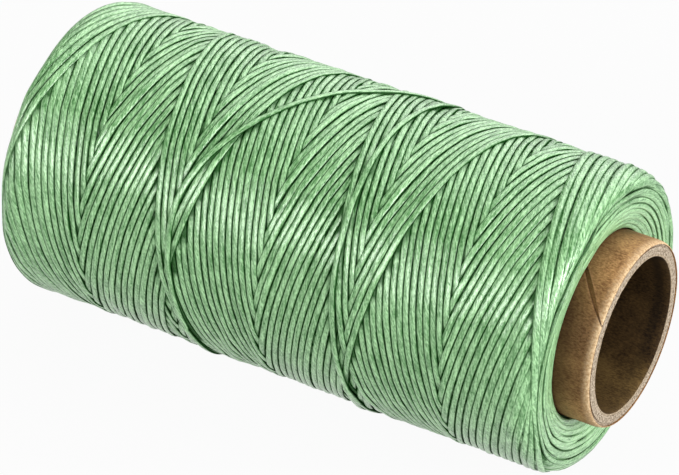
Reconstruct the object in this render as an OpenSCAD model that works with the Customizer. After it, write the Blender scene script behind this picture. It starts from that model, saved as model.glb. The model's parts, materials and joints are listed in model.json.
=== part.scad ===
// Spool of waxed thread, lying on its side: a spiral-wound paper tube that carries a
// cross-wound package of flat waxed thread. The tube's axis is X, Z is up, and the origin
// is the middle of the bore. Millimetres.

/* [Tube] */
// Length of the paper tube
tube_l = 106.4; // [90:0.1:130]
// Bore, which slides over a one-inch spindle
bore_d = 25.4; // [20:0.1:28]
// Thickness of the whole wall
wall_t = 2.45; // [1.8:0.05:4]
// Thickness of the paper liner round the bore
liner_t = 0.35; // [0.2:0.05:0.5]
// Thickness of the kraft strip on the outside
wrap_t = 0.45; // [0.3:0.05:0.6]
// Rounding that the cutter leaves on the outer strip's rims
rim_round = 0.25; // [0.1:0.05:0.3]

/* [Paper strips] */
// Advance of every strip along the tube in one turn
strip_lead = 73.4; // [55:0.1:95]
// Open width of the outer strip's butt seam, measured round the tube
wrap_seam_w = 0.75; // [0.3:0.05:1.5]
// Open width of the seams of the strips inside the wall
board_seam_w = 0.3; // [0.2:0.05:0.8]
// Angle of the outer seam at mid-length, from the top towards the front
wrap_seam_angle = 150; // [0:1:359]

/* [Winding] */
// Diameter over the outermost thread
wound_d = 50.1; // [44:0.1:60]
// Length of the winding
wound_l = 96; // [80:0.1:98]
// How far the winding's end faces draw in where they reach the tube
face_draw = 0.65; // [0.1:0.05:2]
// Length of the soft shoulder at each end of the winding
shoulder_l = 1.6; // [0.6:0.1:4]
// Width of the flattened thread
thread_w = 1.1; // [0.7:0.05:1.4]
// Thickness of the flattened thread
thread_t = 0.5; // [0.35:0.05:0.9]
// Clear height between thread that crosses over and thread that crosses under
cross_gap = 0.5; // [0.45:0.05:0.8]
// Passes of the outer layer from one end to the other
passes = 8; // [4:2:8]
// Clear space left between the winding's end and the turn of the thread
turn_inset = 0.8; // [0.5:0.1:3]

/* [Hidden] */

// Tube: six strips of paper on one another, the liner first and the kraft wrap last
bore_r = bore_d / 2;
liner_r = bore_r + liner_t;
tube_r = bore_r + wall_t;
wrap_in_r = tube_r - wrap_t;
board_plies = 4;
board_t = (wrap_in_r - liner_r) / board_plies;
seam_slices_per_turn = 40;
seam_stagger = 360 / (board_plies + 1);
cut_over = 1;

// Winding: the outer layer runs right on a low level and left on a high one
rings_per_turn = 24;
thread_sides = 6;
ring_step = 360 / rings_per_turn;
pass_rings = 69; // 2.875 turns, so that each pair of passes ends a quarter turn short
bend_rings = 3; // rings each side of a reversal over which the thread turns and climbs
thread_seat = 0.05; // clearance between the thread and what it is wound on
wound_r = wound_d / 2;
high_r = wound_r - thread_t / 2;
low_r = high_r - thread_t - cross_gap;
inner_r = (low_r - thread_t / 2) * cos(ring_step / 2) - thread_seat;
turn_x = wound_l / 2 - thread_w / 2 - turn_inset;
corner_x = turn_x / (1 - bend_rings / pass_rings);
flat_depth = (thread_w + thread_t) / 2 / 10;
rest_z = -wound_r * cos(ring_step / 2) + flat_depth;

// Route of the outer layer, ring by ring
first_ring = bend_rings + 1;
last_ring = passes * pass_rings - bend_rings - 1;
ring_count = last_ring - first_ring + 1;

// Rings from ring i to the nearest reversal, negative before it
function to_turn(i) =
    let (u = i % pass_rings)
    u < pass_rings / 2 ? u : u - pass_rings;

// Axial position of ring i: a zigzag whose corners are rounded by a parabola
function lay_x(i) =
    let (d = abs(to_turn(i)))
    let (slope = 2 * corner_x / pass_rings)
    let (drawn_in = d < bend_rings ? (d * d + bend_rings * bend_rings) / (2 * bend_rings) : d)
    let (turn = round(i / pass_rings))
    (turn % 2 == 0 ? -1 : 1) * (corner_x - slope * drawn_in);

// Radius of ring i: low on the way right, high on the way left, eased at each reversal
function lay_r(i) =
    let (turn = round(i / pass_rings))
    let (s = max(-1, min(1, to_turn(i) / bend_rings)))
    let (risen = (1 + s * (3 - s * s) / 2) / 2)
    let (high_part = turn % 2 == 1 ? risen : 1 - risen)
    low_r + (high_r - low_r) * high_part;

function lay_angle(i) = ring_step * (i + 0.5);

// Corner k of ring i: a flat-topped oval that stands square to the thread's run
function thread_point(i, k) =
    let (a = lay_angle(i), r = lay_r(i))
    let (run = r * ring_step * PI / 180)
    let (lean = atan2((lay_x(i + 1) - lay_x(i - 1)) / 2, run))
    let (side = thread_w / 2 * cos(360 * k / thread_sides))
    let (rise = thread_t / 2 / sin(60) * sin(360 * k / thread_sides))
    let (out = [cos(a), sin(a), 0], round_dir = [-sin(a), cos(a), 0])
    (r + rise) * out - side * sin(lean) * round_dir + [0, 0, lay_x(i) + side * cos(lean)];

ring_points = [for (i = [first_ring:last_ring]) [for (k = [0:thread_sides - 1]) thread_point(i, k)]];

// Least distance between corners of rings that are not neighbours along the thread
function ring_gap(a, b) = min([for (p = a) for (q = b) norm(p - q)]);
function ring_middle(a) = (a[0] + a[3]) / 2;
near = thread_w + cross_gap + 4;
least_gap = min([
    for (i = [0:ring_count - 1])
        for (j = [i + 3:1:ring_count - 1])
            if (norm(ring_middle(ring_points[i]) - ring_middle(ring_points[j])) < near)
                ring_gap(ring_points[i], ring_points[j])
]);
echo(least_gap_of_outer_layer = least_gap);

// Turns a piece built along Z so that it lies along X
module lying() {
    rotate([0, 90, 0]) children();
}

module tube_ring(inner, outer, length) {
    difference() {
        cylinder(r = outer, h = length, center = true, $fn = 128);
        cylinder(r = inner, h = length + 2 * cut_over, center = true, $fn = 128);
    }
}

// Helical slot where a strip's two edges meet, cut through the whole strip
module butt_seam(inner, outer, width, angle_at_middle) {
    length = tube_l + 2 * cut_over;
    turned = 360 * length / strip_lead;
    half_angle = width / outer / 2 * 180 / PI;
    depth_over = 0.6;
    rotate(angle_at_middle + 180 - turned / 2)
        translate([0, 0, -length / 2])
            linear_extrude(height = length, twist = -turned,
                           slices = ceil(seam_slices_per_turn * turned / 360), convexity = 4)
                polygon([
                    for (r = [inner - depth_over, outer + depth_over]) for (s = [-1, 1])
                        let (a = (r < outer ? s : -s) * half_angle)
                        [r * cos(a), r * sin(a)]
                ]);
}

// One strip of board inside the wall; ply 1 is the liner
module board_ply(number) {
    inner = liner_r + (number - 2) * board_t;
    lying() difference() {
        tube_ring(inner, inner + board_t, tube_l);
        butt_seam(inner, inner + board_t, board_seam_w,
                  wrap_seam_angle - (board_plies + 2 - number) * seam_stagger);
    }
}

module core_liner() {
    color([0.36, 0.27, 0.19]) lying() tube_ring(bore_r, liner_r, tube_l);
}

module core_ply(number) {
    color([0.62, 0.53, 0.42]) board_ply(number);
}

module core_wrap() {
    rim = [for (a = [0:22.5:90])
        [tube_r - rim_round * (1 - cos(a)), tube_l / 2 - rim_round * (1 - sin(a))]];
    far_rim = [for (i = [len(rim) - 1:-1:0]) [rim[i][0], -rim[i][1]]];
    color([0.66, 0.47, 0.30]) lying() difference() {
        rotate_extrude($fn = 128)
            polygon(concat([[wrap_in_r, -tube_l / 2]], far_rim, rim, [[wrap_in_r, tube_l / 2]]));
        butt_seam(wrap_in_r, tube_r, wrap_seam_w, wrap_seam_angle);
    }
}

// Every layer under the outermost one, as one solid package with soft shoulders
module thread_inner_layers() {
    shoulder = [for (a = [0:18:90])
        [inner_r - shoulder_l * (1 - cos(a)), wound_l / 2 - shoulder_l * (1 - sin(a))]];
    far_shoulder = [for (i = [len(shoulder) - 1:-1:0]) [shoulder[i][0], -shoulder[i][1]]];
    face_x = wound_l / 2 - face_draw;
    bore = tube_r + thread_seat;
    color([0.55, 0.70, 0.52]) lying() rotate_extrude($fn = 128)
        polygon(concat([[bore, -face_x]], far_shoulder, shoulder, [[bore, face_x]]));
}

// The last thread laid: one unbroken length that crosses itself from end to end
module thread_outer_layer() {
    last = ring_count - 1;
    walls = [for (i = [0:last - 1]) for (k = [0:thread_sides - 1])
        let (n = (k + 1) % thread_sides, a = i * thread_sides, b = a + thread_sides)
        each [[a + k, b + n, a + n], [a + k, b + k, b + n]]];
    start_cap = [for (k = [1:thread_sides - 2]) [0, k, k + 1]];
    end_cap = [for (k = [1:thread_sides - 2]) [0, k + 1, k] + last * thread_sides * [1, 1, 1]];
    color([0.62, 0.78, 0.58]) difference() {
        lying() polyhedron(points = [for (ring = ring_points) each ring],
                           faces = concat(walls, start_cap, end_cap), convexity = 10);
        translate([-tube_l / 2, -wound_r, rest_z - wound_r]) cube([tube_l, wound_d, wound_r]);
    }
}

core_liner();
core_ply(2);  // core_ply_2
core_ply(3);  // core_ply_3
core_ply(4);  // core_ply_4
core_ply(5);  // core_ply_5
core_wrap();
thread_inner_layers();
thread_outer_layer();
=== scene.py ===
import json
import math

import bpy
import numpy as np
from mathutils import Matrix, Vector


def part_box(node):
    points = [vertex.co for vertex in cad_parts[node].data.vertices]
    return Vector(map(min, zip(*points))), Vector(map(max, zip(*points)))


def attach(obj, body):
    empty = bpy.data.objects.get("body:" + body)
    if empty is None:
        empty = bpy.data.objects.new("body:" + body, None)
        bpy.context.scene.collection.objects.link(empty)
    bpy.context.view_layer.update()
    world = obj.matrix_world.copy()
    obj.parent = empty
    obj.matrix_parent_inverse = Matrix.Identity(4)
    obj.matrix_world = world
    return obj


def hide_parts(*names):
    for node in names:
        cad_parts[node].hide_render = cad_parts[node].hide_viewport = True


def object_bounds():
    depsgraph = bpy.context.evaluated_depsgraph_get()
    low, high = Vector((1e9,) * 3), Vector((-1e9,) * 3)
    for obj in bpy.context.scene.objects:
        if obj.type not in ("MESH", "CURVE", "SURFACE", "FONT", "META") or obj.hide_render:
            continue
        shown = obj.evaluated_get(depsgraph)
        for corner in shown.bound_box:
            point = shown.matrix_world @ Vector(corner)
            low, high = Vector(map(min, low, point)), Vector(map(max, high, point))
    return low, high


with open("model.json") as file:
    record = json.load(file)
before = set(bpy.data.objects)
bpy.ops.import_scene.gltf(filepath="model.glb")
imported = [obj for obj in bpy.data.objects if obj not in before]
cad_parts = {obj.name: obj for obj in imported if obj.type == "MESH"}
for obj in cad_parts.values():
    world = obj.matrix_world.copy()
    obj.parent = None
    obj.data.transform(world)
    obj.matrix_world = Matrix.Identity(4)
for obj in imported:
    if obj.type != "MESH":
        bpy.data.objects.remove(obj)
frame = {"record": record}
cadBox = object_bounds()
mm = 0.001
perMetre = 1000            # millimetres
body = "root"

# sizes that the frame already holds, in millimetres
boreMount = next(m for m in frame["record"]["mounts"] if m["name"] == "spindle_bore")
boreRadius = boreMount["dims"]["r_mm"]
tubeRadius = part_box("core_wrap")[1].z / mm
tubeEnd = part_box("core_wrap")[1].x / mm
restLevel = cadBox[0].z / mm


def paint(*colour, darker=1.0):  # a colour as a paint chart gives it, 0 to 255
    shares = [c * darker / 255 for c in colour]
    straight = [c / 12.92 if c <= 0.04045 else ((c + 0.055) / 1.055) ** 2.4 for c in shares]
    return (*straight, 1.0)


class Wire:  # a node socket that takes part in ordinary sums
    def __init__(self, tree, socket=None):
        self.tree = tree
        self.socket = socket

    def node(self, kind, settings=(), inputs=(), out=0):
        made = self.tree.nodes.new(kind)
        for name, value in dict(settings).items():
            setattr(made, name, value)
        for name, value in dict(inputs).items():
            if isinstance(value, Wire):
                self.tree.links.new(value.socket, made.inputs[name])
            else:
                made.inputs[name].default_value = value
        return Wire(self.tree, made.outputs[out])

    def math(self, operation, *values):
        return self.node("ShaderNodeMath", {"operation": operation}, dict(enumerate(values)))

    def __add__(self, other):
        return self.math("ADD", self, other)

    def __radd__(self, other):
        return self.math("ADD", other, self)

    def __sub__(self, other):
        return self.math("SUBTRACT", self, other)

    def __rsub__(self, other):
        return self.math("SUBTRACT", other, self)

    def __mul__(self, other):
        return self.math("MULTIPLY", self, other)

    def __rmul__(self, other):
        return self.math("MULTIPLY", other, self)

    def __truediv__(self, other):
        return self.math("DIVIDE", self, other)

    def __abs__(self):
        return self.math("ABSOLUTE", self)

    def root(self):
        return self.math("SQRT", self)

    def atLeast(self, low):
        return self.math("MAXIMUM", self, low)

    def atMost(self, high):
        return self.math("MINIMUM", self, high)

    def step(self, low, high):  # eased from 0 at low to 1 at high
        inputs = {"Value": self, "From Min": low, "From Max": high}
        return self.node("ShaderNodeMapRange", {"interpolation_type": "SMOOTHSTEP"}, inputs)

    def attribute(self, name):
        return self.node("ShaderNodeAttribute", {"attribute_name": name}, out="Fac")

    def vector(self, x, y, z):
        return self.node("ShaderNodeCombineXYZ", inputs={"X": x, "Y": y, "Z": z})

    def parts(self):  # the three numbers of a vector
        split = self.tree.nodes.new("ShaderNodeSeparateXYZ")
        self.tree.links.new(self.socket, split.inputs[0])
        return [Wire(self.tree, split.outputs[key]) for key in "XYZ"]

    def place(self):  # where on the piece a spot is, in metres
        return self.node("ShaderNodeTexCoord", out="Object")

    def ray(self, kind):  # 1 for rays of one kind, as Light Path tells them
        return self.node("ShaderNodeLightPath", out=kind)

    def noise(self, where, scale=1.0, detail=2.0, roughness=0.5):
        inputs = {"Vector": where, "Scale": scale, "Detail": detail, "Roughness": roughness}
        return self.node("ShaderNodeTexNoise", inputs=inputs)

    def blend(self, share, first, second):  # colours: share 0 gives first
        return self.node("ShaderNodeMix", {"data_type": "RGBA"}, {0: share, 6: first, 7: second}, out=2)

    def bump(self, height, strength, distance):
        return self.node("ShaderNodeBump", inputs={"Height": height, "Strength": strength,
                                                   "Distance": distance})


def newMaterial(name, **plain):
    material = bpy.data.materials.new(name)
    material.use_nodes = True
    shader = material.node_tree.nodes["Principled BSDF"]
    for socket, value in plain.items():
        shader.inputs[socket.replace("_", " ")].default_value = value
    return material, Wire(material.node_tree), shader


def feed(wire, shader, name):
    wire.tree.links.new(wire.socket, shader.inputs[name])


def shareSurface(wire, share, first, second):  # the first surface, and the second one by its share
    mixed = wire.node("ShaderNodeMixShader", inputs={0: share, 1: first, 2: second})
    wire.tree.links.new(mixed.socket, wire.tree.nodes["Material Output"].inputs["Surface"])


def addObject(name, data):
    made = bpy.data.objects.new(name, data)
    bpy.context.scene.collection.objects.link(made)
    return made


def solidPiece(name, points, faces, material, attributes=()):
    mesh = bpy.data.meshes.new(name)
    mesh.from_pydata((points * mm).tolist(), [], faces)
    for key, values in dict(attributes).items():
        mesh.attributes.new(key, "FLOAT", "POINT").data.foreach_set("value", values.astype(np.float32))
    mesh.shade_smooth()
    mesh.materials.append(material)
    mesh.update()
    return addObject(name, mesh)


def ringFaces(rows, count, spans):
    # quads between neighbouring rows, each of them a closed loop of count points
    return [(a * count + i, a * count + (i + 1) % count, (a + 1) % rows * count + (i + 1) % count,
             (a + 1) % rows * count + i) for a in range(spans) for i in range(count)]


def finish(piece, slot, *nodes):
    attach(piece, body)
    if nodes:
        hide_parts(*nodes)
    return piece


# the shape of the wound package, in millimetres
package = dict(
    radius=24.43,          # to the middle of the topmost strands' height
    halfLength=48.15,
    offset=0.1,            # the winding sits this much nearer to the right end of the tube
    shoulderAxial=2.9,     # how far the soft shoulder reaches along the winding
    shoulderRadial=2.8,
    faceDraw=1.35,         # the end face leans in by this much towards the tube
    leftFuller=0.33,       # the left shoulder stands out by this much more
    leftFrom=43,           # and does so between these places along the outline
    leftFull=49,
)


def packageProfile(p):
    # arc length along the outline from the middle of the winding to the tube, with place and normal
    turn = np.radians(np.linspace(0, 90, 40))
    flat = np.linspace(0, p["halfLength"] - p["shoulderAxial"], 200)[:-1]
    face = np.linspace(p["radius"] - p["shoulderRadial"], tubeRadius, 80)[1:]
    faceShare = (face[0] - face) / (face[0] - face[-1])
    x = np.concatenate([flat, p["halfLength"] - p["shoulderAxial"] * (1 - np.sin(turn)),
                        p["halfLength"] - p["faceDraw"] * faceShare ** 1.5])
    r = np.concatenate([flat * 0 + p["radius"], p["radius"] - p["shoulderRadial"] * (1 - np.cos(turn)), face])
    alongX, alongR = np.gradient(x), np.gradient(r)
    size = np.hypot(alongX, alongR)
    s = np.concatenate([[0], np.cumsum(np.hypot(np.diff(x), np.diff(r)))])
    return dict(s=s, x=x, r=r, nx=-alongR / size, nr=alongX / size)


outline = packageProfile(package)
shoulderS = np.interp(-(package["radius"] - package["shoulderRadial"]), -outline["r"], outline["s"])
tubeS = outline["s"][-1]


def onPackage(s, phi, height, roll):
    # turns outline place, angle, height above the outline and roll into points and normals
    far = np.abs(s)
    side = np.sign(s)
    fuller = eased(far, package["leftFrom"], package["leftFull"])
    height = height + package["leftFuller"] * (side < 0) * fuller
    x, r, nx, nr = (np.interp(far, outline["s"], outline[k]) for k in ("x", "r", "nx", "nr"))
    x, r = x + nx * height, r + nr * height
    nx, nr = nx * np.cos(roll) - side * nr * np.sin(roll), nr * np.cos(roll) + side * nx * np.sin(roll)
    out = np.stack([0 * phi, -np.sin(phi), np.cos(phi)], -1)
    point = np.stack([x * side + package["offset"], 0 * x, 0 * x], -1) + r[:, None] * out
    normal = np.stack([nx * side, 0 * x, 0 * x], -1) + nr[:, None] * out
    return point, normal


# how the thread is laid, strand over strand
thread = dict(
    width=1.10,
    thick=0.54,
    layerThick=0.29,       # what a strand adds to the pile once it is pressed down
    turnsPerCycle=6,       # three turns to the right and three back
    cyclesPerCover=28,     # cycles until the winding has gone once all the way round
    cornerS=49.3,          # where the zigzag would turn if its corners were sharp
    bendAngle=36.0,        # half of the angle over which it really turns back
    lastTurnAngle=97.0,    # where the last turn at the right end is, from the top to the front
    lastAngle=475.0,       # where the machine stopped
    cycles=62,
    shownCycles=34,
    rowsPerTurn=240,       # rows round the pile, and its cells' length along it
    cell=0.15,
    wander=0.08,           # slow and quick strays of a strand from its line
    wanderRows=110,
    waver=0.03,
    waverRows=26,
    spreadFrom=33.0,       # the turns slide out onto the shoulders by endSpread from here
    spreadFull=48.0,
    endSpread=0.9,
    slip=0.14,             # not all of them by the same amount
    slipRows=180,
    endWiden=0.18,         # and they flatten there, by this share of their width
    widenFull=42.0,
    faceNarrow=0.2,        # the turns on the faces are pulled narrower
    crowdedFrom=45.5,      # where strands lie side by side on the shoulder, each adds less
    crowdedOver=3.0,
    crowdedLess=0.7,
    tautRadius=24.0,       # a pulled strand bridges dips up to this many rows wide
    tautRows=7,
    leanShare=0.75,        # how far a strand leans over with what it lies on
    mostLean=0.5,
    lastTurnsProud=0.06,   # the turns laid by hand are not pressed down
    mostRings=8000,        # in one piece of the mesh
    seed=11,
)


class Pile:  # the height of what is wound, over the unrolled package
    def __init__(self, t):
        self.t = t
        self.reach = tubeS + 3
        self.field = np.zeros((t["rowsPerTurn"], int(2 * self.reach / t["cell"]) + 2))
        self.offsets = np.linspace(-0.46, 0.46, 9) * t["width"]
        share = np.sqrt(1 - (self.offsets / (0.5 * t["width"])) ** 2)
        self.hollow = (1 - share) / 2
        self.rowAngle = 360 / t["rowsPerTurn"]

    def columns(self, s, offsets):
        return np.rint((s[:, None] + offsets + self.reach) / self.t["cell"]).astype(int)

    def rests(self, rows, s, thick):
        under = self.field[rows[:, None], self.columns(s, self.offsets)]
        level = (under - self.hollow * thick[:, None]).max(1)
        tilt = under[:, -3:].max(1) - under[:, :3].max(1)
        return level, np.arctan(tilt / (0.8 * self.t["width"]))

    def taut(self, level):
        # a pulled thread bridges dips: it leaves a hump on a straight line
        reach, radius = self.t["tautRows"], self.t["tautRadius"]
        run = radius * math.radians(self.rowAngle)
        shifted = [np.roll(level, d) for d in range(-reach, reach + 1)]
        low = np.min(shifted, axis=0)
        best = level.copy()
        for d, other in zip(range(-reach, reach + 1), shifted):
            rise = np.sqrt(2 * radius * np.maximum(other - low, 0)) - abs(d) * run
            best = np.maximum(best, low + np.maximum(rise, 0) ** 2 / (2 * radius))
        return best

    def soften(self, values, times):
        for _ in range(times):
            values = (np.roll(values, 1) + 2 * values + np.roll(values, -1)) / 4
        return values

    def lay(self, first, s, dive=None):
        # lays one stretch of thread that starts at row number first, one value of s for each row
        t, spare = self.t, 10
        count = len(s)
        level, roll = np.zeros(count), np.zeros(count)
        padded = np.concatenate([np.full(spare, s[0]), s, np.full(spare, s[-1])])
        for start in range(0, count, t["rowsPerTurn"]):
            stop = min(count, start + t["rowsPerTurn"])
            part = padded[start:stop + 2 * spare]
            rows = (first + np.arange(start - spare, stop + spare)) % t["rowsPerTurn"]
            thick = self.thickness(part)
            rest, tilt = self.rests(rows, part, thick)
            rest = self.soften(self.taut(rest), 5)
            tilt = self.soften(tilt, 4)
            inner = slice(spare, spare + stop - start)
            level[start:stop] = rest[inner]
            roll[start:stop] = tilt[inner]
            sunk = 0 if dive is None else dive[start:stop]
            level[start:stop] -= sunk
            top = level[start:stop, None] + (1 - self.hollow) * thick[inner, None]
            where = rows[inner, None], self.columns(part[inner], self.offsets)
            self.field[where] = np.maximum(self.field[where], top)
        return level, np.clip(t["leanShare"] * roll, -t["mostLean"], t["mostLean"])

    def settled(self, alongWinding, alongRound=9):
        # the slow swell of the pile, which packs down level under the thread's pull
        rows, columns = self.field.shape
        gap = np.abs(np.arange(rows)[:, None] - np.arange(rows))
        roundMix = np.exp(-0.5 * (np.minimum(gap, rows - gap) / alongRound) ** 2)
        gap = np.arange(columns)[:, None] - np.arange(columns)
        lengthMix = np.exp(-0.5 * (gap / alongWinding) ** 2)
        inside = np.abs(np.arange(columns) * self.t["cell"] - self.reach) < tubeS - 0.3
        weight = roundMix @ (inside * np.ones_like(self.field)) @ lengthMix
        return roundMix @ (inside * self.field) @ lengthMix / np.maximum(weight, 1e-6)

    def read(self, values, rows, s):
        place = (s + self.reach) / self.t["cell"]
        column = place.astype(int)
        share = place - column
        rows = rows % self.t["rowsPerTurn"]
        return values[rows, column] * (1 - share) + values[rows, column + 1] * share

    def thickness(self, s):
        crowded = np.clip((np.abs(s) - self.t["crowdedFrom"]) / self.t["crowdedOver"], 0, 1)
        return self.t["layerThick"] * (1 - self.t["crowdedLess"] * crowded)


def eased(values, low, high):
    share = np.clip((values - low) / (high - low), 0, 1)
    return share * share * (3 - 2 * share)


def smoothNoise(random, count, spacing):
    # slow random wander, one value for each point, about -1 to 1
    knots = random.normal(0, 0.6, int(count / spacing) + 3)
    place = np.arange(count) / spacing
    share = place % 1
    share = share * share * (3 - 2 * share)
    at = place.astype(int)
    return knots[at] * (1 - share) + knots[at + 1] * share


def zigzag(t, phi):
    # place along the outline for a running angle in degrees
    passAngle = 180 * t["turnsPerCycle"] + 180 / t["cyclesPerCover"]
    u = np.mod(phi - t["lastTurnAngle"] + passAngle, 2 * passAngle)
    v = np.where(u < passAngle, u, 2 * passAngle - u)
    d = np.minimum(v, passAngle - v)
    bend = t["bendAngle"]
    drawn = np.where(d < bend, (d * d + bend * bend) / (2 * bend), d)
    side = np.where(v < passAngle / 2, -1, 1)
    return side * (t["cornerS"] - 2 * t["cornerS"] / passAngle * drawn), passAngle


def windPackage(t):
    random = np.random.default_rng(t["seed"])
    pile = Pile(t)
    rowAngle = pile.rowAngle
    cycleAngle = 360 * t["turnsPerCycle"] + 360 / t["cyclesPerCover"]
    firstRow = int((t["lastAngle"] - t["cycles"] * cycleAngle) / rowAngle)
    rows = np.arange(firstRow, int(t["lastAngle"] / rowAngle))
    s, passAngle = zigzag(t, rows * rowAngle)

    # the pile starts as the sloping stair that earlier cycles leave
    grid = np.arange(pile.field.shape[1]) * t["cell"] - pile.reach
    start = rows[0] * rowAngle
    slope = 2 * t["cornerS"] / passAngle
    angle = np.arange(t["rowsPerTurn"])[:, None] * rowAngle
    for way in (1, -1):
        lag = np.mod(angle - start - way * (grid[None, :] - s[0]) / slope, 360) / 360
        pile.field += t["layerThick"] * np.where(np.abs(grid) < 46, 1 - lag if way > 0 else lag, 0.5)

    # the faces first, then the winding, then the rims over it and the last turns over all
    ends = faceArcs(pile, random)
    near, far = tubeS - face["tubeGap"], shoulderS - face["ringsReach"]
    ends += faceRings(pile, random, near, far, face["ringPitch"])
    wander = (t["wander"] * smoothNoise(random, len(s), t["wanderRows"])
              + t["waver"] * smoothNoise(random, len(s), t["waverRows"]))
    nearEnd = eased(np.abs(s), t["spreadFrom"], t["spreadFull"])
    slip = smoothNoise(random, len(s), t["slipRows"])
    s = s + wander + np.sign(s) * nearEnd * (t["endSpread"] - t["slip"] * slip)
    level, roll = pile.lay(rows[0], s)
    shown = int(t["shownCycles"] * cycleAngle / rowAngle)
    rim = face["rimReach"]
    ends += faceRings(pile, random, shoulderS + rim, shoulderS - rim, face["rimPitch"])
    outer = dict(row=rows[-shown:], s=s[-shown:], level=level[-shown:], roll=roll[-shown:])
    swell, rimSwell = pile.settled(alongWinding=13), pile.settled(alongWinding=2)
    loose = looseTurns(pile, random)
    setHeights(t, pile, (outer, loose, *ends), swell, rimSwell)
    loose["height"] += t["lastTurnsProud"]
    return outer, loose, ends


# how high the strands end up, and the painted shade on the ones that others cover
settling = dict(
    rimFrom=42.0,          # the rims settle by their own short swell
    rimFull=46.5,
    coverSeen=0.45,        # a strand darkens from this much cover, in layers
    coverFull=1.1,
    faceDark=0.5,
    windingDark=0.85,
    gapCells=2,            # a gap this wide still counts as covered
)


def setHeights(t, pile, strands, swell, rimSwell):
    gap = settling["gapCells"]
    covered = np.max([np.roll(pile.field, d, 1) for d in range(-gap, gap + 1)], axis=0)
    for strand in strands:
        row, s, level = strand["row"], strand["s"], strand["level"]
        rim = eased(np.abs(s), settling["rimFrom"], settling["rimFull"])
        below = [pile.read(field, row, s) for field in (swell, rimSwell)]
        strand["height"] = level + t["layerThick"] / 2 - below[0] * (1 - rim) - below[1] * rim
        onFace = "side" in strand
        # painted shade: a strand that others cover is darkened, as their shadow on it
        cover = pile.read(pile.field if onFace else covered, row, s) - level - pile.thickness(s)
        darkness = settling["faceDark" if onFace else "windingDark"]
        hidden = eased(cover / t["layerThick"], settling["coverSeen"], settling["coverFull"])
        strand["buried"] = darkness * hidden


# the turns that show on the two end faces, in millimetres, degrees and rows
face = dict(
    arcs=30,
    rings=3,               # the first arcs go all the way round the tube
    ringSpan=182,
    spanLow=50.0,          # half of what the others go round
    spanHigh=76.0,
    apart=137.5,           # from one arc to the next, more or less
    apartStray=12,
    arcsFrom=0.45,         # from the tube
    arcsTo=2.6,            # to this far up the shoulder, and no strand beyond arcsMost
    arcsMost=3.4,
    tubeLeast=0.42,
    stray=0.14,
    drift=0.32,
    bow=0.25,
    tuck=0.2,              # how deep an arc's ends go under, past this share of its half length
    tuckFrom=0.62,
    tubeGap=0.5,
    ringPitch=0.95,
    ringSway=0.19,
    swayRows=75,
    quickSwayRows=31,
    ringsReach=1.9,        # the face's rings start this far up the shoulder, under the winding
    rimPitch=0.75,         # a few more lie over the winding's turns
    rimReach=0.95,
    endDive=0.7,           # the rings' ends go under by this much over a few rows
    endRows=26,
)


def faceArcs(pile, random):
    arcs = []
    rowAngle = pile.rowAngle
    for side in (-1, 1):
        depth = np.linspace(tubeS - face["arcsFrom"], shoulderS - face["arcsTo"], face["arcs"])
        turned = random.uniform(0, 360)
        for number, s0 in enumerate(depth):
            turned += face["apart"] + random.uniform(-face["apartStray"], face["apartStray"])
            span = face["ringSpan"]
            if number >= face["rings"]:
                span = random.uniform(face["spanLow"], face["spanHigh"])
            count = int(2 * span / rowAngle)
            place = np.linspace(-1, 1, count)
            drift = random.uniform(-1, 1) * face["drift"]
            stray = random.uniform(-face["stray"], face["stray"])
            s = s0 + stray + drift * place + face["bow"] * (place ** 2 - 0.4)
            s = np.clip(s, shoulderS - face["arcsMost"], tubeS - face["tubeLeast"])
            ending = (np.abs(place) - face["tuckFrom"]) / (1 - face["tuckFrom"])
            first = int((turned - span) / rowAngle)
            level, roll = pile.lay(first, side * s, face["tuck"] * np.clip(ending, 0, 1) ** 2)
            arcs.append(dict(row=first + np.arange(count), s=side * s, level=level, roll=roll, side=side))
    return arcs


def faceRings(pile, random, near, far, pitch):
    # one spiral on each end face, from near the tube outwards, with both of its ends tucked under
    rings = []
    rowsPerTurn = len(pile.field)
    for side in (-1, 1):
        count = int((near - far) / pitch * rowsPerTurn)
        sway = (smoothNoise(random, count, face["swayRows"])
                + 0.5 * smoothNoise(random, count, face["quickSwayRows"]))
        s = np.clip(np.linspace(near, far, count) + face["ringSway"] * sway, far - 0.5, near)
        left = np.minimum(np.arange(count), np.arange(count)[::-1])
        first = int(random.uniform(0, rowsPerTurn))
        level, roll = pile.lay(first, side * s, face["endDive"] * (1 - eased(left, 0, face["endRows"])))
        rings.append(dict(row=first + np.arange(count), s=side * s, level=level, roll=roll, side=side))
    return rings


# the last turns, laid by hand over everything
loosely = dict(stray=0.05, strayRows=50, endDive=0.75, endRows=26)

# angle from the top to the front, and place along the winding
looseRoute = [(475, 15.0), (530, 13.9), (600, 13.2), (665, 12.9), (692, 12.6), (727, 11.6), (770, 12.5),
              (798, 13.6), (840, 15.6), (900, 16.6), (960, 15.5), (1010, 11.8), (1053, 6.7), (1067, 1.6),
              (1080, -3.0), (1093, -7.1), (1108, -11.0), (1122, -14.0), (1138, -16.0), (1148, -16.2),
              (1160, -15.8), (1180, -14.8), (1195, -13.8), (1240, -12.6), (1300, -12.4), (1330, -12.6)]


def looseTurns(pile, random):
    angles, places = np.array(looseRoute, float).T
    rows = np.arange(int(angles[0] / pile.rowAngle), int(angles[-1] / pile.rowAngle))
    s = curveThrough(angles, places, rows * pile.rowAngle)
    s = s + loosely["stray"] * smoothNoise(random, len(s), loosely["strayRows"])
    left = len(rows) - np.arange(len(rows))
    # the end is tucked under the winding
    level, roll = pile.lay(rows[0], s, loosely["endDive"] * np.clip(1 - left / loosely["endRows"], 0, 1))
    return dict(row=rows, s=s, level=level, roll=roll)


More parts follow.
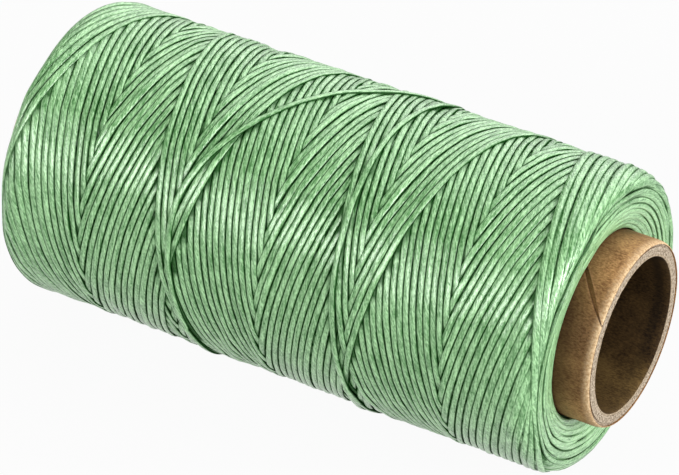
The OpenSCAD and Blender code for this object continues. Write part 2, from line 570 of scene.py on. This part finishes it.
def curveThrough(xs, ys, at):
    # a smooth curve through the points that doesn't overshoot much
    slope = np.gradient(ys, xs)
    i = np.clip(np.searchsorted(xs, at) - 1, 0, len(xs) - 2)
    gap = xs[i + 1] - xs[i]
    f = (at - xs[i]) / gap
    return ((2 * f ** 3 - 3 * f ** 2 + 1) * ys[i] + (f ** 3 - 2 * f ** 2 + f) * gap * slope[i]
            + (3 * f ** 2 - 2 * f ** 3) * ys[i + 1] + (f ** 3 - f ** 2) * gap * slope[i + 1])


# how the thread looks, in millimetres and paint-chart colours
threadLook = dict(
    light=(173, 222, 163),
    deep=(65, 124, 60),
    # gap: the colour of the painted shade between strands
    gap=(8, 62, 10),
    sheen=(0.86, 1.0, 0.83, 1.0),
    filaments=6.0,
    filamentLength=3.2,    # over which one filament keeps its shade
    fleckLength=1.5,
    pitLength=1.2,
    cloudLength=14.0,
    grain=1.9,             # fuzz that shows as specks this fine, in waves for one mm
    wax=0.42,              # coat on the specks
    bump=0.9,
    bumpHeight=0.045,
    sideFrom=0.38,         # where a strand's side begins, as a share of its half width squared
    sideFull=0.9,
    sideDark=0.95,
    pressedFrom=42.0,      # along the winding: strands are pressed closer on the shoulders
    pressedFull=46.0,
    pressedLess=0.3,
    faceRadius=19.0,       # the faces beside the tube are paler than the shoulders
    shoulderRadius=22.5,
    facePaler=0.3,
    faceLess=0.2,
)


def threadMaterial(look):
    material, wire, shader = newMaterial("waxedThread", Specular_IOR_Level=1.0, IOR=1.7,
                                         Specular_Tint=look["sheen"], Coat_Roughness=0.2)
    along = wire.attribute("along") * perMetre
    across = wire.attribute("across")
    strand = wire.attribute("strand")
    # filaments run with the thread and slant a little, as it is loosely twisted
    slant = across * look["filaments"] / 2 + along * 0.4
    filament = wire.noise(wire.vector(slant, along / look["filamentLength"], strand * 37), 1.0, 1.0, 0.5)
    fleckAt = wire.vector(across * 2.4 + along * 1.7, along / look["fleckLength"], strand * 91)
    pitAt = wire.vector(across * 2.2 + along * 1.4, along / look["pitLength"], strand * 17)
    fleck, pit = wire.noise(fleckAt, 1.0, 0.0), wire.noise(pitAt, 1.0, 0.0)
    grain = wire.noise(wire.vector(across * look["grain"], along * look["grain"], strand * 71), 1.0, 1.0)
    cloud = wire.noise(wire.vector(along / look["cloudLength"], strand * 53, 0.0), 1.0, 2.0)
    fleckMask = fleck.step(0.5, 0.68)
    pitMask = pit.step(0.54, 0.72)
    tone = filament.step(0.34, 0.66) * 0.5 + fleckMask * 0.34 + cloud.step(0.3, 0.7) * 0.24 - pitMask * 0.2
    x, y, z = (part * perMetre for part in wire.place().parts())
    nearTube = 1 - (y * y + z * z).root().step(look["faceRadius"], look["shoulderRadius"])
    tone = tone + grain.step(0.35, 0.65) * 0.34 + nearTube * look["facePaler"] - 0.18
    colour = wire.blend(tone.atMost(1.0).atLeast(0.0), paint(*look["deep"]), paint(*look["light"]))
    feed(colour, shader, "Base Color")
    feed(0.2 + filament * 0.12 + grain * 0.1, shader, "Roughness")
    feed(grain.step(0.4, 0.62) * look["wax"], shader, "Coat Weight")
    height = filament * 0.6 + fleckMask * 0.5 - pitMask * 0.5 + grain * 0.35
    feed(wire.bump(height, look["bump"], look["bumpHeight"] * mm), shader, "Normal")
    # painted shade: the strands' sides are coloured dull and dark, as the shade between them
    side = material.node_tree.nodes.new("ShaderNodeBsdfPrincipled")
    for name, value in (("Base Color", paint(*look["gap"])), ("Roughness", 0.9), ("Specular IOR Level", 0.0)):
        side.inputs[name].default_value = value
    pressed = abs(x).step(look["pressedFrom"], look["pressedFull"])
    dark = look["sideDark"] - pressed * look["pressedLess"] - nearTube * look["faceLess"]
    edge = (across * across).step(look["sideFrom"], look["sideFull"]) * dark
    shaded = 1 - (1 - edge) * (1 - wire.attribute("buried"))
    shareSurface(wire, shaded, Wire(wire.tree, shader.outputs[0]), Wire(wire.tree, side.outputs[0]))
    return material


# one tree sweeps an oval along every strand
def sweepTree(material):
    tree = bpy.data.node_groups.new("sweepThread", "GeometryNodeTree")
    tree.interface.new_socket("Geometry", in_out="INPUT", socket_type="NodeSocketGeometry")
    sizes = {name: tree.interface.new_socket(name, in_out="INPUT", socket_type=kind)
             for name, kind in (("Half thickness", "NodeSocketFloat"), ("Half width", "NodeSocketFloat"),
                                ("Sides", "NodeSocketInt"), ("Boxiness", "NodeSocketFloat"))}
    tree.interface.new_socket("Geometry", in_out="OUTPUT", socket_type="NodeSocketGeometry")
    wire = Wire(tree)
    entry = tree.nodes.new("NodeGroupInput")
    asked = {name: Wire(tree, entry.outputs[name]) for name in sizes}
    route = wire.node("GeometryNodeMeshToCurve", inputs={"Mesh": Wire(tree, entry.outputs["Geometry"])})
    facing = wire.node("GeometryNodeInputNamedAttribute", {"data_type": "FLOAT_VECTOR"}, {"Name": "facing"})
    route = wire.node("GeometryNodeSetCurveNormal", {"mode": "FREE"}, {"Curve": route, "Normal": facing})

    # the cross-section is an oval with fuller sides than an ellipse
    ring = wire.node("GeometryNodeCurvePrimitiveCircle", {"mode": "RADIUS"},
                     {"Resolution": asked["Sides"], "Radius": 1.0})
    where = wire.node("GeometryNodeInputPosition")
    up, side, _ = where.parts()
    fuller = (up * up + side * side * side * side).root()
    squeeze = 1 + asked["Boxiness"] * (1 - fuller)
    shaped = wire.vector(up * asked["Half thickness"] * squeeze, side * asked["Half width"] * squeeze, 0.0)
    ring = wire.node("GeometryNodeStoreNamedAttribute", {"data_type": "FLOAT", "domain": "POINT"},
                     {"Geometry": ring, "Name": "across", "Value": side})
    ring = wire.node("GeometryNodeSetPosition", inputs={"Geometry": ring, "Position": shaped})
    size = wire.node("GeometryNodeInputNamedAttribute", {"data_type": "FLOAT"}, {"Name": "size"})
    swept = wire.node("GeometryNodeCurveToMesh", inputs={"Curve": route, "Profile Curve": ring,
                                                        "Scale": size, "Fill Caps": True})
    swept = wire.node("GeometryNodeSetShadeSmooth", inputs={"Geometry": swept})
    swept = wire.node("GeometryNodeRealizeInstances", inputs={"Geometry": swept})
    swept = wire.node("GeometryNodeSetMaterial", inputs={"Geometry": swept, "Material": material})
    leave = tree.nodes.new("NodeGroupOutput")
    tree.links.new(swept.socket, leave.inputs[0])
    return tree, {name: socket.identifier for name, socket in sizes.items()}


def sweepThread(name, strands, tools, sides=10):
    # strands: each has point, facing, along, strand and size arrays
    tree, identifiers = tools
    route = bpy.data.meshes.new(name + "Route")
    counts = [len(s["point"]) for s in strands]
    starts = np.cumsum([0] + counts)
    edges = np.concatenate([np.stack([np.arange(a, a + n - 1), np.arange(a + 1, a + n)], 1)
                            for a, n in zip(starts, counts)])
    points = np.concatenate([s["point"] for s in strands]) * mm
    route.vertices.add(len(points))
    route.vertices.foreach_set("co", points.astype(np.float32).ravel())
    route.edges.add(len(edges))
    route.edges.foreach_set("vertices", edges.astype(np.int32).ravel())
    facing = np.concatenate([s["facing"] for s in strands])
    route.attributes.new("facing", "FLOAT_VECTOR", "POINT").data.foreach_set(
        "vector", facing.astype(np.float32).ravel())
    for key in ("along", "strand", "size", "buried"):
        values = np.concatenate([s[key] for s in strands]).astype(np.float32)
        route.attributes.new(key, "FLOAT", "POINT").data.foreach_set("value", values)
    route.update()
    carrier = addObject(name + "Carrier", route)
    sweep = carrier.modifiers.new("sweep", "NODES")
    sweep.node_group = tree
    for key, value in {"Half thickness": thread["thick"] / 2 * mm, "Half width": thread["width"] / 2 * mm,
                       "Sides": sides, "Boxiness": 0.1}.items():
        sweep[identifiers[key]] = value
    dependencies = bpy.context.evaluated_depsgraph_get()
    mesh = bpy.data.meshes.new_from_object(carrier.evaluated_get(dependencies))
    mesh.name = name
    place = np.empty(len(mesh.vertices) * 3, np.float32)
    mesh.vertices.foreach_get("co", place)
    place[2::3] = np.maximum(place[2::3], restLevel * mm)  # pressed flat on the table
    mesh.vertices.foreach_set("co", place)
    mesh.update()
    bpy.data.objects.remove(carrier)
    return addObject(name, mesh)


def makeStrand(laid, number, random, every=2, widen=0.0):
    phi = np.radians(laid["row"] * 360 / thread["rowsPerTurn"])
    point, facing = onPackage(laid["s"], phi, laid["height"], laid["roll"])
    point[:, 2] = np.maximum(point[:, 2], restLevel + 0.9 * thread["thick"] / 2)
    keep = np.arange(0, len(phi), every)
    if keep[-1] != len(phi) - 1:
        keep = np.append(keep, len(phi) - 1)
    point, facing = point[keep], facing[keep]
    along = np.concatenate([[0], np.cumsum(np.linalg.norm(np.diff(point, axis=0), axis=1))]) * mm
    far = np.abs(laid["s"][keep])
    size = 1 + 0.05 * smoothNoise(random, len(point), 14) + 0.05 * smoothNoise(random, len(point), 4)
    size += widen * eased(far, thread["spreadFrom"], thread["widenFull"])
    strand = np.full(len(point), (number * 0.618034) % 1)
    return dict(point=point, facing=facing, along=along, strand=strand, size=size,
                buried=laid["buried"][keep])


def splitStrand(strand, most):
    # shorter strands that share their end rings
    count = max(1, math.ceil(len(strand["point"]) / most))
    cuts = np.linspace(0, len(strand["point"]) - 1, count + 1).astype(int)
    return [{k: v[a:b + 1] for k, v in strand.items()} for a, b in zip(cuts[:-1], cuts[1:])]


print("winding the thread")
random = np.random.default_rng(thread["seed"] + 1)
outerLaid, looseLaid, endLaid = windPackage(thread)
threadPaint = threadMaterial(threadLook)
tools = sweepTree(threadPaint)
outer = splitStrand(makeStrand(outerLaid, 1, random, widen=thread["endWiden"]), thread["mostRings"])
for number, part in enumerate(outer, 1):
    piece = sweepThread(f"outerThread{number}", [part], tools)
    finish(piece, "waxed_thread", "thread_outer_layer", "thread_inner_layers")
piece = sweepThread("lastTurns", [makeStrand(looseLaid, 7, random, every=1)], tools, 12)
finish(piece, "waxed_thread")
for side, name in ((-1, "leftFaceTurns"), (1, "rightFaceTurns")):
    turns = [makeStrand(laid, number, random, widen=-thread["faceNarrow"])
             for number, laid in enumerate(endLaid, 3) if laid["side"] == side]
    piece = sweepThread(name, turns, tools)
    finish(piece, "waxed_thread")

# the solid package under the strands that show, coloured darker than the thread as painted shade, since it
# shows only between strands
heart = dict(
    inset=0.75,            # below the outline
    tubeGap=0.02,
    steps=160,
    every=3,               # takes every third point of the outline
    deep=(28, 70, 28),
    light=(66, 118, 62),
    grain=900.0,
    grainHeight=0.1,
)


def heartMaterial():
    material, wire, shader = newMaterial("shadedThread", Roughness=0.7)
    grain = wire.noise(wire.place(), heart["grain"], 2.0)
    feed(wire.blend(grain, paint(*heart["deep"]), paint(*heart["light"])), shader, "Base Color")
    feed(wire.bump(grain, 0.6, heart["grainHeight"] * mm), shader, "Normal")
    return material


def packageHeart():
    pick = np.arange(0, len(outline["s"]), heart["every"])
    x = outline["x"][pick] - heart["inset"] * outline["nx"][pick]
    r = np.maximum(outline["r"][pick] - heart["inset"] * outline["nr"][pick], tubeRadius + heart["tubeGap"])
    x, r = np.concatenate([-x[::-1], x[1:]]), np.concatenate([r[::-1], r[1:]])
    phi = np.linspace(0, 2 * np.pi, heart["steps"], endpoint=False)[:, None]
    points = np.stack([x + 0 * phi, -np.sin(phi) * r, np.cos(phi) * r], -1).reshape(-1, 3)
    faces = ringFaces(heart["steps"], len(x), heart["steps"])
    return solidPiece("packageHeart", points, faces, heartMaterial())


finish(packageHeart(), "waxed_thread")
print("thread laid:", len(outer), "pieces")


# the paper tube, in millimetres
tube = dict(
    steps=288,
    edgeRows=(0, 0.0008, 0.002, 0.004),    # finer rows beside the seam, as shares of a turn
    evenFrom=0.007,
    seamTurn=4.905,        # degrees that the wrap's seam turns in one mm of tube
    seamX=47.9,
    seamAngle=25.0,        # from the top to the front, at seamX
    gapAt=(46.0, 47.9, 49.1, 50.6, 51.9, 53.2),    # mm from the middle of the tube
    gap=(0.8, 0.95, 1.25, 1.1, 0.7, 0.3),          # how far apart the wrap's edges stand there
    rimAlong=1.6,          # the wrap's rim is worn round over this length
    rimDrop=0.42,
    lift=0.08,             # one edge of the seam stands proud
    liftWidth=(0.006, 0.004),   # and comes down over this share of the way round
    fuzz=0.09,             # depth of the torn fibres on the cut ends
    boardSunk=0.22,        # the outermost board ends this much short of the others
    boardFuzz=0.6,
    linerFuzz=0.2,
    seed=5,
)


def sleeve(name, section, material, random, seam=None, spread=0.0):
    # section: rows of (x, r, share) round the sleeve's wall, outside first; the share is 1 on the torn end,
    # and over the wrap's worn rim it is partly a painted highlight
    x, r, cut = np.array(section, float).T
    count, steps = len(x), tube["steps"]
    if seam:
        start, gap, lift = seam
        near = np.array(tube["edgeRows"])
        even = np.linspace(tube["evenFrom"], 1 - tube["evenFrom"], steps)
        share = np.concatenate([near, even, 1 - near[::-1]])
        phi = np.radians(start(x)[None] + gap(x)[None] / 2 + share[:, None] * (360 - gap(x))[None])
        up, down = tube["liftWidth"]
        edge = np.clip(1 - (1 - share) / up, 0, 1) * lift - np.clip(1 - share / down, 0, 1) * lift
        radius = r[None] + edge[:, None]
    else:
        phi = np.radians(np.arange(steps) * 360 / steps)[:, None] + 0 * x[None]
        radius = r[None] + 0 * phi
    rows = len(phi)
    rough = random.random((rows, count))
    rough = 0.5 * rough + 0.25 * np.roll(rough, 1, 0) + 0.25 * np.roll(rough, -1, 0)
    along = x[None] - np.sign(x) * cut * tube["fuzz"] * (rough + spread)
    points = np.stack([along, -radius * np.sin(phi), radius * np.cos(phi)], -1).reshape(-1, 3)
    faces = ringFaces(rows, count, rows - 1 if seam else rows)
    if seam:  # the strip's two long edges
        half = count // 2
        for a, turn in ((0, -1), (rows - 1, 1)):
            for i in range(half - 1):
                first, last = a * count + i, (a + 1) * count - 1 - i
                faces.append((first, first + 1, last - 1, last)[::turn])
    return solidPiece(name, points, faces, material, {"cut": np.tile(cut, rows)})


# how each paper looks: its side and its cut end, in paint-chart colours
kraftLook = dict(dark=(100, 62, 32), light=(200, 154, 102), cutDark=(182, 146, 104), cutLight=(238, 210, 168),
                 roughness=0.6, paintedShade=0.6)
boardLook = dict(dark=(106, 74, 43), light=(154, 114, 73), cutDark=(118, 102, 84), cutLight=(206, 190, 168),
                 roughness=0.85)
linerLook = dict(dark=(34, 22, 11), light=(90, 68, 38), cutDark=(128, 110, 88), cutLight=(198, 180, 154),
                 roughness=0.62, darkRing=(20, 14, 8), boreLitDark=(66, 48, 26), boreLitLight=(132, 106, 62))
marksAndShade = dict(
    shadeFrom=47.6,          # painted shade: the paper is darker beside the winding, where the winding shades it
    shadeTo=52.4,
    shadeDeep=0.55,
    darkRingAt=51.0,          # a patchy dark ring near each end of the bore
    fibres=4200.0,         # these four are waves for one metre
    specks=4400.0,
    tears=2600.0,
    clouds=200.0,
    fibreHeight=0.09,
)


def paperMaterial(name, look):
    material, wire, shader = newMaterial(name, Roughness=look["roughness"], Specular_IOR_Level=0.15)
    dark = look["dark"]
    where = wire.place()
    long = wire.node("ShaderNodeVectorMath", {"operation": "MULTIPLY"}, {0: where, 1: (0.45, 1, 1)})
    fibre = wire.noise(long, marksAndShade["fibres"], 3.0, 0.6)
    cloud = wire.noise(where, marksAndShade["clouds"], 3.0, 0.6)
    speck = wire.noise(where, marksAndShade["specks"], 1.0, 0.5).step(0.6, 0.75)
    tone = fibre.step(0.3, 0.7) * 0.6 + cloud.step(0.3, 0.7) * 0.4
    side = wire.blend(tone, paint(*dark), paint(*look["light"]))
    side = wire.blend(speck * 0.3, side, paint(*dark, darker=0.6))
    x, y, z = (part * perMetre for part in where.parts())
    off = abs(x)
    # painted shade on the wrap: darker beside the winding and at the front
    if "paintedShade" in look:
        paperShade = paint(*dark, darker=marksAndShade["shadeDeep"])
        besideWindingShade = 1 - (off + cloud * 1.6).step(marksAndShade["shadeFrom"], marksAndShade["shadeTo"])
        side = wire.blend(besideWindingShade * look["paintedShade"], side, paperShade)
        frontShade = ((z * 0.375 - y * 0.927) / tubeRadius).step(0.62, 0.97)  # painted shade: the front, turned away from the lights, is darker
        side = wire.blend(frontShade * look["paintedShade"], side, paperShade)
    if "darkRing" in look:
        band = 1 - abs(off - marksAndShade["darkRingAt"] + cloud * 1.2 - 0.6).step(0.2, 1.3)
        patchy = wire.noise(where, 60.0, 1.0).step(0.45, 0.6)
        side = wire.blend(band * patchy * 0.6, side, paint(*look["darkRing"]))
        boreLit = wire.blend(tone, paint(*look["boreLitDark"]), paint(*look["boreLitLight"]))
        low = (z * -0.985 - y * 0.174) / boreRadius + cloud * 0.5 - 0.25  # painted light: the bore is paler below, where light reaches it
        side = wire.blend(low.step(0.58, 1.0) * 0.7, side, boreLit)
    torn = wire.noise(where, marksAndShade["tears"], 3.0, 0.7)
    end = wire.blend(torn.step(0.32, 0.68), paint(*look["cutDark"]), paint(*look["cutLight"]))
    cut = wire.attribute("cut")
    feed(wire.blend(cut, side, end), shader, "Base Color")
    feed(wire.bump(fibre * 0.5 + torn * (cut * 1.5 + 0.2), 0.55, marksAndShade["fibreHeight"] * mm), shader, "Normal")
    return material


kraft = paperMaterial("kraftPaper", kraftLook)
board = paperMaterial("greyBoard", boardLook)
linerPaper = paperMaterial("linerPaper", linerLook)

random = np.random.default_rng(tube["seed"])
ease = np.radians(np.linspace(0, 90, 9))
# the worn-round rim is blended towards the torn end's paler colour: partly its own colour, partly a painted
# highlight
rim = [(tubeEnd - tube["rimAlong"] * (1 - math.sin(a)), tubeRadius - tube["rimDrop"] * (1 - math.cos(a)),
        0.95 * math.sin(a) ** 1.6) for a in ease]
far = np.concatenate([np.arange(0, 44, 3.0), np.arange(44, tubeEnd - tube["rimAlong"], 0.7)])
outerLine = [(x, tubeRadius, 0.0) for x in far] + rim
outerLine = [(-x, r, c) for x, r, c in outerLine[:0:-1]] + outerLine
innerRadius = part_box("core_ply_5")[1].z / mm
wrapSection = outerLine + [(x, innerRadius, 0.0) for x, r, c in outerLine[::-1]]
seam = (lambda x: tube["seamAngle"] + tube["seamTurn"] * (x - tube["seamX"]),
        lambda x: np.degrees(np.interp(np.abs(x), tube["gapAt"], tube["gap"]) / tubeRadius), tube["lift"])
finish(sleeve("kraftWrap", wrapSection, kraft, random, seam), "kraft_paper", "core_wrap")

for number in range(2, 6):
    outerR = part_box(f"core_ply_{number}")[1].z / mm
    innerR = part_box(f"core_ply_{number - 1}" if number > 2 else "core_liner")[1].z / mm
    end = tubeEnd - (tube["boardSunk"] if number == 5 else 0.0)
    cutEnd = [(end, outerR + (innerR - outerR) * c, 1.0) for c in np.linspace(0, 1, 4)]
    line = [(tubeEnd - 1.2, outerR, 0.0), (end - 0.12, outerR, 0.5)] + cutEnd
    line += [(end - 0.12, innerR, 0.5), (tubeEnd - 1.2, innerR, 0.0)]
    section = line + [(-x, r, c) for x, r, c in line[::-1]]
    spread = random.random() * tube["boardFuzz"]
    piece = sleeve(f"boardPly{number}", section, board, random, spread=spread)
    finish(piece, "grey_board", f"core_ply_{number}")

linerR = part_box("core_liner")[1].z / mm
stations = np.linspace(0, tubeEnd - 0.15, 60)
line = [(x, boreRadius, 0.0) for x in stations] + [(tubeEnd - 0.06, boreRadius + 0.03, 0.7)]
line += [(tubeEnd, boreRadius + 0.12, 1.0), (tubeEnd, linerR, 1.0), (tubeEnd - 0.3, linerR, 0.0)]
section = (line + [(-x, r, c) for x, r, c in line[:0:-1]])[::-1]
piece = sleeve("boreLiner", section, linerPaper, random, spread=tube["linerFuzz"])
finish(piece, "liner_paper", "core_liner")
print("tube rolled")

# table, light and camera, in metres
stage = dict(
    reach=3.0,
    grey=0.38,
    seenWhite=0.95,        # how white the table shows, and how white gloss mirrors it
    mirrorLeast=0.35,
    underFrom=0.024,       # it glows most right under the spool
    underTo=0.05,
    sky=0.06,
    skySeen=0.94,
    skyMirrored=0.12,
)


def stageMaterial():
    material, wire, shader = newMaterial("whiteTable", Roughness=0.9)
    shader.inputs["Base Color"].default_value = (stage["grey"],) * 3 + (1,)
    glow = wire.node("ShaderNodeEmission", inputs={"Color": (1, 1, 1, 1), "Strength": 1.0})
    _, off, _ = wire.place().parts()
    under = 1 - abs(off).step(stage["underFrom"], stage["underTo"])
    mirrored = stage["mirrorLeast"] + under * (1 - stage["mirrorLeast"])
    white = (wire.ray("Is Camera Ray") * stage["seenWhite"]).atLeast(wire.ray("Is Glossy Ray") * mirrored)
    shareSurface(wire, white, Wire(wire.tree, shader.outputs[0]), glow)
    return material


corners = [(-1, -1), (1, -1), (1, 1), (-1, 1)]
tableMesh = bpy.data.meshes.new("table")
tableMesh.from_pydata([(x * stage["reach"], y * stage["reach"], restLevel * mm) for x, y in corners], [],
                      [(0, 1, 2, 3)])
tableMesh.materials.append(stageMaterial())
table = addObject("table", tableMesh)

world = bpy.data.worlds.new("studio")
bpy.context.scene.world = world
world.use_nodes = True
sky = Wire(world.node_tree)
background = world.node_tree.nodes["Background"]
background.inputs["Color"].default_value = (1, 1, 1, 1)
strength = (stage["sky"] + sky.ray("Is Camera Ray") * stage["skySeen"]
            + sky.ray("Is Glossy Ray") * stage["skyMirrored"])
feed(strength, background, "Strength")


def around(phi, distance, x):  # a place at an angle from the top to the front of the spool
    return (x, -distance * math.sin(math.radians(phi)), distance * math.cos(math.radians(phi)))


lamps = dict(              # place, power in watts, length and width
    frontLight=(around(61, 0.9, -0.1), 6.8, 1.2, 0.2),
    backLight=(around(-45, 0.9, 0.0), 15.5, 1.4, 1.8),
    rightLight=((1.1, -0.1, 0.4), 13.0, 0.6, 0.6),
)
for name, (place, power, length, width) in lamps.items():
    lamp = bpy.data.lights.new(name, "AREA")
    lamp.shape = "RECTANGLE"
    lamp.size, lamp.size_y, lamp.energy = length, width, power
    light = addObject(name, lamp)
    light.location = place
    light.rotation_euler = (-Vector(place)).to_track_quat("-Z", "Y").to_euler()

cameraSetup = dict(azimuth=30.76, elevation=36.10, distance=0.57662, focalPixels=3625.4,
                   centreX=335.33, centreY=230.75, imageWidth=679, imageHeight=475, sensorWidth=36)


def addCamera(c):
    a, e = math.radians(c["azimuth"]), math.radians(c["elevation"])
    right = Vector((math.cos(a), math.sin(a), 0))
    up = Vector((-math.sin(a) * math.sin(e), math.cos(a) * math.sin(e), math.cos(e)))
    back = Vector((math.sin(a) * math.cos(e), -math.cos(a) * math.cos(e), math.sin(e)))
    lens = bpy.data.cameras.new("camera")
    lens.sensor_width = c["sensorWidth"]
    lens.lens = c["focalPixels"] * c["sensorWidth"] / c["imageWidth"]
    lens.shift_x = (c["imageWidth"] / 2 - c["centreX"]) / c["imageWidth"]
    lens.shift_y = (c["centreY"] - c["imageHeight"] / 2) / c["imageWidth"]
    lens.clip_start, lens.clip_end = 0.01, 20
    camera = addObject("camera", lens)
    turned = Matrix((right, up, back)).transposed().to_4x4()
    camera.matrix_world = Matrix.Translation(back * c["distance"]) @ turned
    bpy.context.scene.camera = camera


addCamera(cameraSetup)
bpy.context.scene.view_settings.view_transform = "Standard"

print("scene ready")
